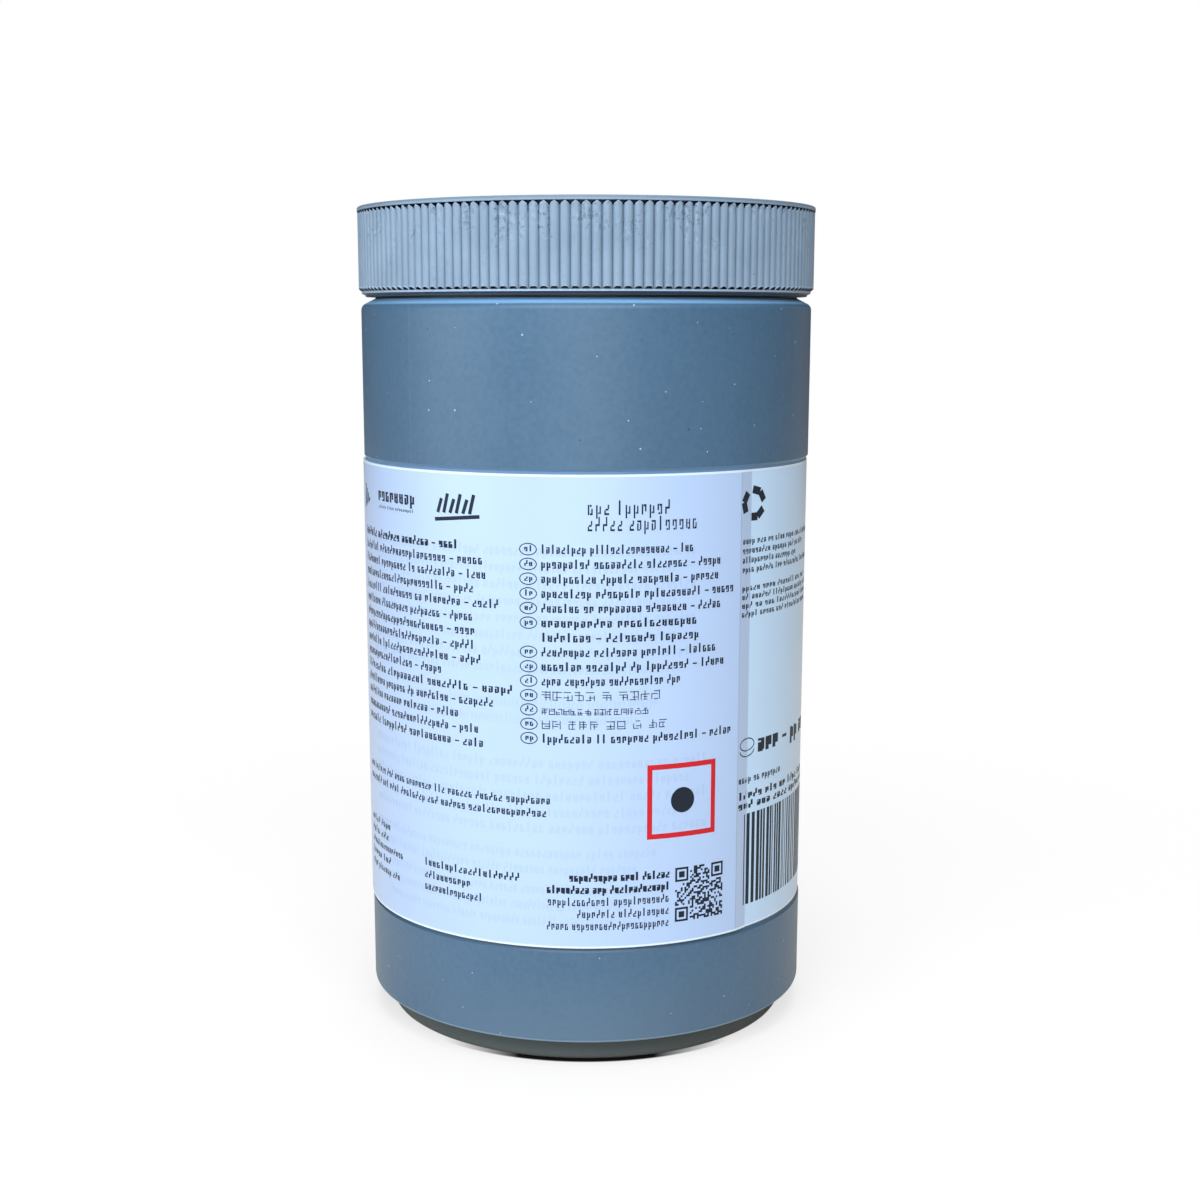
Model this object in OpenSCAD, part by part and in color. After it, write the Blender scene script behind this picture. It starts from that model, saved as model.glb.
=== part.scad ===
// Screw-lid plastic jar with a wrap-around booklet label, packed with round
// cleaning tablets. The jar stands on the ring round its base. +Z runs up its
// axis, and the label's printed front faces -Y.

/* [Tablets] */
// Diameter of one tablet
tablet_d = 30; // [20:0.5:40]
// Thickness of one tablet
tablet_t = 9.2; // [8:0.1:11]
// Bevel round both faces of a tablet
tablet_bevel = 1; // [0.3:0.1:2]
// Space between tablets that lie side by side
tablet_gap = 0.3; // [0.1:0.05:0.45]
// Space between one tablet and the next one above it
tablet_lay = 0.1; // [0.05:0.05:0.3]
// How far each layer of tablets is turned from the one below it, in degrees
layer_turn = 13; // [0:1:59]

/* [Jar] */
// Space between the outermost tablets and the jar's inner wall
tablet_room = 0.7; // [0.3:0.1:3]
// Wall thickness of the jar
wall = 1.5; // [1:0.1:2]
// Thickness of the jar's floor
floor_t = 2; // [1.2:0.1:3]
// Height of the hollow under the floor
dish_h = 3.6; // [2.5:0.1:5]
// Width of the ring that the jar stands on
foot_ring_w = 3; // [2:0.1:6]
// How far the foot's outer edge lies inside the wall's face
foot_inset = 4; // [3.5:0.1:5.5]
// Radius of the foot's rounded lower edge
foot_round = 1.2; // [0.4:0.1:1.8]
// How steeply the heel's underside falls to the foot, in degrees
heel_slope = 20; // [5:1:30]
// How far the crease above the foot lies inside the wall's face
crease_inset = 0.6; // [0.3:0.05:2.2]
// Height of the crease above the foot
crease_h = 5.2; // [3.5:0.05:5.5]
// Height over which the wall rounds in down to the crease
heel_h = 0.9; // [0.6:0.1:3.5]
// Space between the topmost tablet and the shoulder's height
head_room = 8.3; // [5:0.1:30]
// Depth of the shallow band in the wall that the label lies in
recess_depth = 0.38; // [0.1:0.01:0.6]
// Space between the label's edges and the slopes of that band
recess_margin = 0.5; // [0.2:0.05:1.5]
// Height of the slopes above and below that band
recess_slope = 0.5; // [0.2:0.05:1.5]
// Radius of the shoulder's rounded outer edge
shoulder_round = 1.5; // [0.8:0.1:2.5]
// How steeply the shoulder falls from the neck's bead to that edge, in degrees
shoulder_slope = 27; // [15:1:35]
// How far the neck's face lies inside the wall's face
neck_inset = 4.3; // [3.8:0.1:6]
// Wall thickness of the neck
neck_wall = 1.6; // [1.2:0.1:2.4]
// Height of the bead round the foot of the neck
bead_h = 1.3; // [0.8:0.1:2]
// How far the bead stands out from the neck
bead_w = 1.3; // [0.6:0.1:1.8]

/* [Screw thread] */
// Rise of the thread in one full turn, over both of its starts
thread_lead = 12; // [11:0.5:14]
// Height of the thread ridges
thread_depth = 1.6; // [1:0.1:1.8]
// Width of a thread ridge at its root
thread_root_w = 2.6; // [2:0.1:2.7]
// Width of a thread ridge at its crest
thread_crest_w = 1.2; // [0.6:0.1:1.6]
// How far each ridge runs round the neck, in degrees
thread_span = 195; // [120:5:210]
// Space between a crest and the wall that it faces
thread_room = 0.55; // [0.4:0.05:0.9]
// Distance from the neck's top edge down to the middle of the ridge's upper end
thread_drop = 2.3; // [2:0.1:3.5]

/* [Lid] */
// Height of the lid
lid_h = 18.2; // [17.5:0.1:26]
// Space between the lid's lower edge and the jar's shoulder
lid_gap = 0.3; // [0.3:0.1:1.5]
// Thickness of the lid's skirt between its ribs
skirt_wall = 1.8; // [1.3:0.1:2.6]
// Thickness of the lid's top at its edge
lid_top_t = 1.6; // [1.2:0.1:2.5]
// Depth of the sunk panel on the lid's top
panel_sink = 0.5; // [0.2:0.05:0.9]
// Width of the flat border round the sunk panel
panel_border = 5; // [3:0.5:12]
// Number of grip ribs round the lid
rib_count = 150; // [120:1:160]
// Height of a grip rib above the grooves
rib_depth = 0.75; // [0.4:0.05:0.9]
// Width of a rib at its foot
rib_w = 1.78; // [1.5:0.02:1.85]
// Width of a rib at its crest
rib_crest_w = 0.8; // [0.3:0.05:1]
// Height of the smooth rim above the ribs
rim_h = 0.9; // [0.6:0.1:2]
// How far the rim stands out from the ribs
rim_out = 0.1; // [0.05:0.05:0.4]
// Radius of the rounded upper edge of the rim
rim_round = 0.35; // [0.1:0.05:0.5]
// Height of the smooth lip below the ribs
lip_h = 0.45; // [0.3:0.05:1.2]
// How far the lip stands out from the grooves
lip_out = 0.15; // [0.05:0.05:0.3]
// Height of the bevel below the lip
lip_bevel_h = 0.35; // [0.2:0.05:0.8]
// Depth of the bevel below the lip
lip_bevel_w = 0.75; // [0.4:0.05:1]
// Height of the thin ring at the lid's lower edge
edge_ring_h = 0.3; // [0.2:0.05:0.8]
// Thickness of the sealing disc inside the lid
liner_t = 1; // [0.6:0.1:2]
// Space round the sealing disc
liner_room = 0.45; // [0.2:0.05:0.8]
// Space between the sealing disc and the neck's top edge
seal_gap = 0.05; // [0.02:0.01:0.1]

/* [Label] */
// Height of the label's lower edge above the foot
label_z = 25.4; // [12:0.1:30]
// Height of the label
label_h = 94.6; // [60:0.1:98]
// Thickness of the base label
label_t = 0.12; // [0.08:0.01:0.3]
// Thickness of the glue under a label
glue_t = 0.03; // [0.01:0.01:0.05]
// Width of the seam between the base label's two ends, in degrees
seam_angle = 3; // [1:1:20]
// Thickness of the folded booklet
booklet_t = 0.45; // [0.2:0.05:1]
// Thickness of the booklet's front leaf where it runs on past the folds
leaf_t = 0.12; // [0.08:0.01:0.3]
// Angle from the front round to the booklet's left end
booklet_left = 142; // [90:1:160]
// Angle from the front round to the booklet's right-hand fold
booklet_right = 40; // [20:0.1:80]
// Angle over which the front leaf slopes down past the fold
slope_angle = 3.3; // [1:0.1:8]
// Angle of the leaf's glued edge past that slope
leaf_angle = 0.5; // [0.5:0.1:8]

/* [Hidden] */
$fn = 96;

// A layer is one tablet with a ring of six round it, and the last layer holds
// the two that are left of a hundred.
ring_count = 6;
layer_count = 15;
top_layer_count = 2;
ring_step = 360 / ring_count;
ring_r = tablet_d + tablet_gap;
layer_h = tablet_t + tablet_lay;

inner_r = ring_r + tablet_d / 2 + tablet_room;
body_r = inner_r + wall;
floor_z = dish_h + floor_t;
floor_round = wall;
shoulder_z = floor_z + layer_count * layer_h + head_room;
foot_r = body_r - foot_inset;
crease_r = body_r - crease_inset;
foot_top_z = crease_h - (crease_r - foot_r) * tan(heel_slope);
dish_slope = dish_h / 3;

neck_r = body_r - neck_inset;
neck_in_r = neck_r - neck_wall;
neck_edge = 0.4;
bead_r = neck_r + bead_w;
neck_foot_z = shoulder_z + (bead_r - neck_in_r) * tan(shoulder_slope) - wall / cos(shoulder_slope);
recess_r = body_r - recess_depth;
label_top_z = label_z + label_h;

skirt_in_r = neck_r + thread_depth + thread_room;
groove_r = skirt_in_r + skirt_wall;
rib_r = groove_r + rib_depth;
rim_r = rib_r + rim_out;
lip_r = groove_r + lip_out;
edge_ring_r = lip_r - lip_bevel_w;

// A rib's side bends at these shares of its height and of its width, and its
// foot is sunk into the skirt.
rib_bend_h = 0.7;
rib_bend_w = 0.86;
rib_sunk = skirt_wall / 8;

lid_z = shoulder_z + lid_gap;
lid_top_z = lid_z + lid_h;
lid_under_z = lid_top_z - lid_top_t;
lip_bottom_z = lid_z + edge_ring_h + lip_bevel_h;
rib_bottom_z = lip_bottom_z + lip_h;
rim_bottom_z = lid_top_z - rim_h;
panel_r = rim_r - panel_border;
neck_top_z = lid_under_z - liner_t - seal_gap;

// Each start of the thread rises by thread_rise over its span. The lid's ridges
// run under the jar's, with a small space between the two flanks.
thread_starts = 2;
thread_steps = 26;
thread_fade = 3;
thread_root = 0.3;
thread_play = 0.3;
thread_rise = thread_lead * thread_span / 360;
jar_thread_z = neck_top_z - thread_drop - thread_rise;
flank_shift = (thread_root_w + thread_crest_w) / 2 + thread_play;
lid_thread_z = jar_thread_z - flank_shift;

label_r = recess_r + glue_t;
booklet_r = label_r + label_t + glue_t;
seam_side = 180;
strip_step = 2;

// Points on a round stretch of an outline, from one angle to another
function arc(x, y, r, a0, a1, steps = 8) =
    [for (i = [0:steps]) let (a = a0 + (a1 - a0) * i / steps) [x + r * cos(a), y + r * sin(a)]];

// Points where the wall rounds in between the crease and the straight wall
function heel() = [for (i = [0:6]) let (a = 90 * i / 6)
    [crease_r + crease_inset * sin(a), crease_h + heel_h * (1 - cos(a))]];

// Points up a wall face at radius r, round the shoulder's edge and up its slope
// to a given end
function shoulder(r, end_r, end_z) =
    let (round_r = r - shoulder_round, slope_r = round_r + shoulder_round * sin(shoulder_slope),
        round_z = end_z - (slope_r - end_r) * tan(shoulder_slope) - shoulder_round * cos(shoulder_slope))
    concat(arc(round_r, round_z, shoulder_round, 0, 90 - shoulder_slope), [[end_r, end_z]]);

// How much of a ridge's height stands at one step along it
function fade(i) = min(1, i / thread_fade, (thread_steps - i) / thread_fade);

// One ridge of a thread: its narrow side is at crest_r and its wide side at
// root_r, and both of its ends sink into the wall at wall_r.
module ridge(root_r, crest_r, wall_r) {
    step_angle = thread_span / thread_steps;
    outward = crest_r > root_r;
    sunk_r = (root_r + wall_r) / 2;
    ring = function (i)
        let (a = i * step_angle, z = thread_rise * i / thread_steps,
            tip_r = sunk_r + (crest_r - sunk_r) * fade(i),
            low_r = outward ? root_r : tip_r, high_r = outward ? tip_r : root_r,
            low_w = outward ? thread_root_w : thread_crest_w,
            high_w = outward ? thread_crest_w : thread_root_w)
        [[low_r * cos(a), low_r * sin(a), z - low_w / 2],
         [high_r * cos(a), high_r * sin(a), z - high_w / 2],
         [high_r * cos(a), high_r * sin(a), z + high_w / 2],
         [low_r * cos(a), low_r * sin(a), z + low_w / 2]];
    points = [for (i = [0:thread_steps]) each ring(i)];
    sides = [for (i = [0:thread_steps - 1], j = [0:3])
        let (a = 4 * i + j, b = 4 * i + (j + 1) % 4, c = b + 4, d = a + 4)
        each [[a, b, c], [a, c, d]]];
    last = 4 * thread_steps;
    polyhedron(points, concat([[0, 2, 1], [0, 3, 2]], sides,
        [[last, last + 1, last + 2], [last, last + 2, last + 3]]), convexity = 4);
}

module thread(root_r, crest_r, wall_r, z) {
    for (k = [0:thread_starts - 1])
        translate([0, 0, z]) rotate([0, 0, k * 360 / thread_starts]) ridge(root_r, crest_r, wall_r);
}

// Blow-moulded body with its neck: the outline runs up the outside and down
// the inside.
module jar() {
    inner_shoulder = shoulder(inner_r, neck_in_r, neck_foot_z);
    color("#6487a8") {
        rotate_extrude() polygon(concat(
            [[0, dish_h], [foot_r - foot_ring_w - 2 * dish_slope, dish_h - dish_slope / 2],
                [foot_r - foot_ring_w, 0]],
            arc(foot_r - foot_round, foot_round, foot_round, -90, 0, 3),
            [[foot_r, foot_top_z]],
            heel(),
            [[body_r, label_z - recess_margin - recess_slope], [recess_r, label_z - recess_margin],
                [recess_r, label_top_z + recess_margin],
                [body_r, label_top_z + recess_margin + recess_slope]],
            shoulder(body_r, bead_r, shoulder_z),
            [[bead_r, shoulder_z + bead_h / 2], [neck_r, shoulder_z + bead_h],
                [neck_r, neck_top_z - neck_edge], [neck_r - neck_edge, neck_top_z],
                [neck_in_r, neck_top_z]],
            [for (i = [len(inner_shoulder) - 1:-1:0]) inner_shoulder[i]],
            arc(inner_r - floor_round, floor_z + floor_round, floor_round, 0, -90),
            [[0, floor_z]]));
        thread(neck_r - thread_root, neck_r + thread_depth, neck_r, jar_thread_z);
    }
}

// Outline of the ribs round the lid, as a flat shape
function ribs() = [for (i = [0:rib_count - 1])
    let (a = 360 * i / rib_count, rib_foot_r = groove_r - rib_sunk,
        bend_r = groove_r + rib_depth * rib_bend_h, to_deg = 180 / PI,
        foot_a = rib_w / 2 / groove_r * to_deg, bend_a = rib_w * rib_bend_w / 2 / bend_r * to_deg,
        crest_a = rib_crest_w / 2 / rib_r * to_deg)
    each [for (p = [[rib_foot_r, -foot_a], [bend_r, -bend_a], [rib_r, -crest_a],
            [rib_r, crest_a], [bend_r, bend_a], [rib_foot_r, foot_a]])
        [p[0] * cos(a + p[1]), p[0] * sin(a + p[1])]]];

// Injection-moulded lid. The ribs end in a slope under the rim and above the lip.
module lid() {
    color("#9db8d6") {
        rotate_extrude() polygon(concat(
            [[0, lid_under_z], [skirt_in_r, lid_under_z], [skirt_in_r, lid_z], [edge_ring_r, lid_z],
                [edge_ring_r, lid_z + edge_ring_h], [lip_r, lip_bottom_z], [lip_r, rib_bottom_z],
                [groove_r, rib_bottom_z], [groove_r, rim_bottom_z - (rim_r - groove_r)],
                [rim_r, rim_bottom_z]],
            arc(rim_r - rim_round, lid_top_z - rim_round, rim_round, 0, 90, 5),
            [[panel_r, lid_top_z], [panel_r - panel_sink, lid_top_z - panel_sink],
                [0, lid_top_z - panel_sink]]));
        intersection() {
            translate([0, 0, rib_bottom_z - rib_depth]) linear_extrude(rim_bottom_z - rib_bottom_z + rib_depth)
                difference() {
                    polygon(ribs());
                    circle(r = groove_r - 2 * rib_sunk);
                }
            rotate_extrude() polygon([[skirt_in_r, rib_bottom_z - rib_depth / 2],
                [groove_r - rib_depth / 2, rib_bottom_z - rib_depth / 2],
                [rim_r + rib_depth, rib_bottom_z + rib_depth + (rim_r - groove_r)],
                [rim_r + rib_depth, lid_top_z], [skirt_in_r, lid_top_z]]);
        }
        thread(skirt_in_r + thread_root, skirt_in_r - thread_depth, skirt_in_r, lid_thread_z);
    }
}

// Foam disc that lies in the lid and seals the neck's top edge
module liner() {
    color("#e9ecec") translate([0, 0, lid_under_z - liner_t])
        cylinder(r = skirt_in_r - liner_room, h = liner_t);
}

// A point at a radius and an angle, counted from the front to the right
function around(r, a) = [r * sin(a), -r * cos(a)];

// Angles from one end of a strip to the other, about strip_step apart
function stretch(from_a, to_a) = let (steps = ceil((to_a - from_a) / strip_step))
    [for (i = [0:steps]) from_a + (to_a - from_a) * i / steps];

// A strip of label that lies on radius r, with its thickness at each of its angles
module strip(r, angles, thickness) {
    last = len(angles) - 1;
    translate([0, 0, label_z]) linear_extrude(label_h) polygon(concat(
        [for (a = angles) around(r, a)],
        [for (i = [last:-1:0]) around(r + lookup(angles[i], thickness), angles[i])]));
}

// Glued label that runs round the jar, with its seam at the back
module base_label() {
    color("#dcebfb") strip(label_r,
        stretch(seam_side - 360 + seam_angle / 2, seam_side - seam_angle / 2),
        [[0, label_t]]);
}

// Folded booklet on top of the base label. Its front leaf slopes down past the
// folds and is glued to the base label.
module booklet_label() {
    slope_end = booklet_right + slope_angle;
    color("#cfe8ff") strip(booklet_r,
        concat(stretch(-booklet_left, booklet_right), [slope_end, slope_end + leaf_angle]),
        [[booklet_right, booklet_t], [slope_end, leaf_t]]);
}

// Pressed tablet with bevelled edges
module tablet() {
    r = tablet_d / 2;
    rotate_extrude() polygon([[0, 0], [r - tablet_bevel, 0], [r, tablet_bevel],
        [r, tablet_t - tablet_bevel], [r - tablet_bevel, tablet_t], [0, tablet_t]]);
}

// One layer of tablets, counted from the floor
module tablet_layer(n) {
    full = n < layer_count;
    turn = full ? n * layer_turn : (n - 1) * layer_turn;
    color("#f2f3ee") translate([0, 0, floor_z + tablet_lay + (n - 1) * layer_h]) rotate([0, 0, turn]) {
        if (full) tablet();
        for (k = [0:(full ? ring_count : top_layer_count) - 1])
            rotate([0, 0, k * ring_step]) translate([ring_r, 0, 0]) tablet();
    }
}

jar();
lid();
liner();
base_label();
booklet_label();
tablet_layer(1);  // tablet_layer_01
tablet_layer(2);  // tablet_layer_02
tablet_layer(3);  // tablet_layer_03
tablet_layer(4);  // tablet_layer_04
tablet_layer(5);  // tablet_layer_05
tablet_layer(6);  // tablet_layer_06
tablet_layer(7);  // tablet_layer_07
tablet_layer(8);  // tablet_layer_08
tablet_layer(9);  // tablet_layer_09
tablet_layer(10);  // tablet_layer_10
tablet_layer(11);  // tablet_layer_11
tablet_layer(12);  // tablet_layer_12
tablet_layer(13);  // tablet_layer_13
tablet_layer(14);  // tablet_layer_14
tablet_layer(15);  // tablet_layer_15
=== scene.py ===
import math
import random

import bmesh
import bpy
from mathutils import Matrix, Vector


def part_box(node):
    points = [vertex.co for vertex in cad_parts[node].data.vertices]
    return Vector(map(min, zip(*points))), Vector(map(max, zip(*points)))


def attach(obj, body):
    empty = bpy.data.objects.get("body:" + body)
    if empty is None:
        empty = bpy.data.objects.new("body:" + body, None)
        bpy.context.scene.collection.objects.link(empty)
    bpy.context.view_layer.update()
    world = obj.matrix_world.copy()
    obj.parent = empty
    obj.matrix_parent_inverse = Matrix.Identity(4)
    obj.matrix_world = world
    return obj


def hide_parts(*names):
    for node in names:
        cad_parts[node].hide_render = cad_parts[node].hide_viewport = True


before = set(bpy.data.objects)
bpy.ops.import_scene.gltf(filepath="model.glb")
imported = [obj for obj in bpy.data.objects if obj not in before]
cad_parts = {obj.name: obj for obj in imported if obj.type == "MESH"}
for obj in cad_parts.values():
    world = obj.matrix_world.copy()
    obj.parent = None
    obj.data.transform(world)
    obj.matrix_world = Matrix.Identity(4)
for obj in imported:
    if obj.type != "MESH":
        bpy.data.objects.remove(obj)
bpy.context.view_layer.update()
mm = 0.001

# The camera stands where the photograph was taken from, level with the gap under
# the lid and tilted down, so that the label's lower edge and the base curve most.
photo_side = 1200
focal_px = 1863
jar_middle_px = 586.2
lens_axis_px = 675.3
camera_back = 403.7 * mm
camera_up = 149.4 * mm
camera_tilt = math.radians(10.86)
bpy.ops.object.select_all(action="DESELECT")
bpy.ops.object.camera_add(location=(0, -camera_back, camera_up), rotation=(math.pi / 2 - camera_tilt, 0, 0))
camera = bpy.context.object
camera.data.sensor_width = 36
camera.data.lens = camera.data.sensor_width * focal_px / photo_side
camera.data.shift_x = (photo_side / 2 - jar_middle_px) / photo_side
camera.data.shift_y = (lens_axis_px - photo_side / 2) / photo_side
camera.data.clip_start = 0.01
bpy.context.scene.camera = camera
bpy.context.scene.view_settings.view_transform = "Standard"


# The floor is a wide pale sheet. The camera sees it white, with the jar's soft shadow and a
# painted dark contact shadow in front of the foot, and the jar sees a duller table.
def linear(hex_colour):
    """An sRGB hex colour as the linear colour that a node takes."""
    parts = [int(hex_colour[i:i + 2], 16) / 255 for i in (1, 3, 5)]
    return tuple(p / 12.92 if p <= 0.04045 else ((p + 0.055) / 1.055) ** 2.4 for p in parts) + (1.0,)


def add_node(tree, kind, inputs=(), **settings):
    """Adds a node with its settings. Its inputs come by name or number, or in order, and
    each is a value, a socket, or a node whose first output in use is linked."""
    node = tree.nodes.new("ShaderNode" + kind)
    for name, value in settings.items():
        setattr(node, name, value)
    for name, value in (inputs.items() if isinstance(inputs, dict) else enumerate(inputs)):
        if isinstance(value, bpy.types.Node):
            value = next(result for result in value.outputs if result.enabled)
        if isinstance(value, bpy.types.NodeSocket):
            tree.links.new(value, node.inputs[name])
        else:
            node.inputs[name].default_value = value
    return node


def empty_material(name):
    """A new material with nothing in it but its output."""
    material = bpy.data.materials.new(name)
    material.use_nodes = True
    material.node_tree.nodes.clear()
    output = add_node(material.node_tree, "OutputMaterial")
    return material, material.node_tree, output


foot_r = 43.5 * mm
floor_white, tree, output = empty_material("floor_white")
path = add_node(tree, "LightPath")
place = add_node(tree, "TexCoord").outputs["Object"]
away = add_node(tree, "VectorMath", [place], operation="LENGTH").outputs["Value"]
seen_near = add_node(tree, "BsdfDiffuse", {"Color": linear("#ffeee2")})
seen_far = add_node(tree, "Emission", {"Color": linear("#ffffff"), "Strength": 1.0})
whiteness = add_node(tree, "MapRange", [away, 0.05, 0.3, 0.68, 1.0])
seen = add_node(tree, "MixShader", [whiteness, seen_near, seen_far])
# Painted contact shadow: the floor is dark close round the foot, in front only.
contact_shadow_tone = add_node(tree, "BsdfDiffuse", {"Color": linear("#1c1a19")})
contact_shadow = add_node(tree, "MapRange", [away, foot_r + 0.7 * mm, foot_r + 1.3 * mm, 1.0, 0.0])
parts = add_node(tree, "SeparateXYZ", [place])
aside = add_node(tree, "Math", [parts.outputs["X"]], operation="ABSOLUTE")
in_front = add_node(tree, "MapRange", [aside, 14 * mm, 30 * mm, 1.0, 0.0])
contact_shadow = add_node(tree, "Math", [contact_shadow, in_front], operation="MULTIPLY")
seen = add_node(tree, "MixShader", [contact_shadow, seen, contact_shadow_tone])
table = add_node(tree, "BsdfDiffuse", {"Color": linear("#b6aa9b")})
sheen = add_node(tree, "BsdfDiffuse", {"Color": linear("#f4dfc9")})
table = add_node(tree, "MixShader", [path.outputs["Is Glossy Ray"], table, sheen])
mix = add_node(tree, "MixShader", [path.outputs["Is Camera Ray"], table, seen])
tree.links.new(mix.outputs[0], output.inputs["Surface"])
bpy.ops.object.select_all(action="DESELECT")
bpy.ops.mesh.primitive_plane_add(size=6, location=(0, 0, 0))
bpy.ops.transform.translate(value=(0, 0, -0.02 * mm))
bpy.ops.object.transform_apply(location=True)
floor = bpy.context.object
floor.name = "floor"
floor.data.materials.append(floor_white)

# The light is a plain studio set of soft boxes. The high one in front and the low
# one at the left give the jar its broad sheen, and the rest are weak fills, with a
# warm one past the right edge. The room is nearly dark, so that side falls off.
world = bpy.data.worlds.new("room")
bpy.context.scene.world = world
world.use_nodes = True
world.node_tree.nodes.clear()
path = add_node(world.node_tree, "LightPath")
room = add_node(world.node_tree, "Background", {"Color": linear("#d8c9bc"), "Strength": 0.06})
white = add_node(world.node_tree, "Background", {"Color": linear("#ffffff"), "Strength": 1.0})
mix = add_node(world.node_tree, "MixShader", [path.outputs["Is Camera Ray"], room, white])
add_node(world.node_tree, "OutputWorld", {"Surface": mix})
jar_middle_z = 90 * mm
lamp_distance = 1.5


def soft_box(name, azimuth, elevation, width, watts, tone=(0.76, 0.89, 1.0)):
    """A soft box that faces the jar, at angles in degrees from the front and from level."""
    turn, rise = math.radians(azimuth), math.radians(elevation)
    x = lamp_distance * math.cos(rise) * math.sin(turn)
    y = -lamp_distance * math.cos(rise) * math.cos(turn)
    z = jar_middle_z + lamp_distance * math.sin(rise)
    bpy.ops.object.select_all(action="DESELECT")
    bpy.ops.object.light_add(type="AREA", location=(x, y, z), rotation=(math.pi / 2 - rise, 0, turn))
    lamp = bpy.context.object
    lamp.name = name
    lamp.data.shape = "RECTANGLE"
    lamp.data.size = width
    lamp.data.size_y = 0.8
    lamp.data.color = tone
    lamp.data.energy = watts


soft_box("front_high", -4, 45, 1.7, 25)
soft_box("left_low", -66, 12, 1.2, 10)
soft_box("front_low", -2, 12, 1.0, 7.3)
soft_box("top", 0, 88, 0.8, 9.7)
soft_box("back_high", 175, 45, 1.0, 6.5)
soft_box("right_high", 82, 45, 0.8, 1.6, (0.62, 0.82, 1.0))
soft_box("right_rim", 138, 4, 0.5, 0.45, (1.0, 0.72, 0.5))

# Jar: one blow-moulded piece of recycled polyethylene. Its wall rounds in to a
# crease above the foot, a shallow band holds the label, and the neck carries the
# screw thread.
body_r = 47.5 * mm
inner_r = 46 * mm
foot_ring_w = 3 * mm
dish_h = 3.6 * mm
dish_slope = 1.2 * mm
crease_r = 46.9 * mm
crease_h = 5.2 * mm
heel_slope = math.radians(20)
foot_round = 1.2 * mm
heel_h = 0.9 * mm
label_low, label_high = (corner.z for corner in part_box("base_label"))
recess_r = 47.12 * mm
recess_margin = 0.5 * mm
recess_slope = 0.5 * mm
lid_low, lid_high = (corner.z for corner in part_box("lid"))
shoulder_z = lid_low - 0.3 * mm
shoulder_round = 1.5 * mm
shoulder_slope = math.radians(27)
neck_r = 43.2 * mm
neck_in_r = 41.6 * mm
neck_edge = 0.4 * mm
neck_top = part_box("jar")[1].z
bead_w = 1.3 * mm
bead_h = 1.3 * mm
floor_z = 5.6 * mm
wall = 1.5 * mm
columns = 360


def arc(r, z, radius, start, end, steps):
    """Points on a round stretch of an outline, from one angle in degrees to another."""
    angles = [math.radians(start + (end - start) * i / steps) for i in range(steps + 1)]
    return [(r + radius * math.cos(a), z + radius * math.sin(a)) for a in angles]


def heel_curve(steps=10):
    """Points where the wall rounds in from the crease up to the straight wall."""
    out = body_r - crease_r
    turns = [math.pi / 2 * i / steps for i in range(steps + 1)]
    return [(crease_r + out * math.sin(t), crease_h + heel_h * (1 - math.cos(t))) for t in turns]


def shoulder(r, end_r, end_z):
    """Points up a wall face, round the shoulder's edge and up its slope to a given end."""
    round_r = r - shoulder_round
    slope_r = round_r + shoulder_round * math.sin(shoulder_slope)
    round_z = end_z - (slope_r - end_r) * math.tan(shoulder_slope) - shoulder_round * math.cos(shoulder_slope)
    return arc(round_r, round_z, shoulder_round, 0, 90 - math.degrees(shoulder_slope), 8) + [(end_r, end_z)]


def pull_up(outline, ring_count):
    """Adds a ring of points and pulls it along the outline, one loop at a time."""
    bpy.ops.object.select_all(action="DESELECT")
    radius, height = outline[0]
    bpy.ops.mesh.primitive_circle_add(vertices=ring_count, radius=radius, location=(0, 0, height))
    bpy.ops.object.transform_apply(location=True)
    shell = bpy.context.object
    bpy.ops.object.mode_set(mode="EDIT")
    bpy.ops.mesh.select_all(action="SELECT")
    for next_radius, next_height in outline[1:]:
        bpy.ops.mesh.extrude_region_move(TRANSFORM_OT_translate={"value": (0, 0, next_height - height)})
        if abs(next_radius - radius) > 1e-9:
            grow = next_radius / radius
            bpy.ops.transform.resize(value=(grow, grow, 1), center_override=(0, 0, next_height))
        radius, height = next_radius, next_height
    return shell


def close_ends(shell):
    """Fills the two open loops of a pulled-up shell, and turns all faces outwards."""
    bpy.ops.mesh.select_all(action="DESELECT")
    bpy.ops.mesh.select_non_manifold(extend=False, use_wire=False, use_multi_face=False, use_verts=False)
    bpy.ops.mesh.edge_face_add()
    bpy.ops.mesh.select_all(action="SELECT")
    bpy.ops.mesh.normals_make_consistent(inside=False)
    bpy.ops.object.mode_set(mode="OBJECT")


def smooth(piece, angle=32):
    """Shades a piece smooth, except over edges sharper than the angle in degrees."""
    bpy.ops.object.select_all(action="DESELECT")
    piece.select_set(True)
    bpy.context.view_layer.objects.active = piece
    bpy.ops.object.shade_smooth_by_angle(angle=math.radians(angle))


jar_outline = [(foot_r - foot_ring_w - 2 * dish_slope, dish_h - dish_slope / 2),
               (foot_r - foot_ring_w - 0.1 * mm, 0.15 * mm), (foot_r - foot_ring_w + 0.1 * mm, 0)]
jar_outline += arc(foot_r - foot_round, foot_round, foot_round, -90, 0, 6)
jar_outline += [(foot_r, crease_h - (crease_r - foot_r) * math.tan(heel_slope))] + heel_curve()
jar_outline += [(body_r, label_low - recess_margin - recess_slope), (recess_r, label_low - recess_margin),
                (recess_r, label_high + recess_margin),
                (body_r, label_high + recess_margin + recess_slope)]
jar_outline += shoulder(body_r, neck_r + bead_w, shoulder_z)
jar_outline += [(neck_r + bead_w, shoulder_z + bead_h / 2),
                (neck_r, shoulder_z + bead_h), (neck_r, neck_top - neck_edge)]
jar_outline += arc(neck_r - neck_edge, neck_top - neck_edge, neck_edge, 10, 90, 4)
neck_foot = shoulder_z + (neck_r + bead_w - neck_in_r) * math.tan(shoulder_slope)
neck_foot -= wall / math.cos(shoulder_slope)
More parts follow.
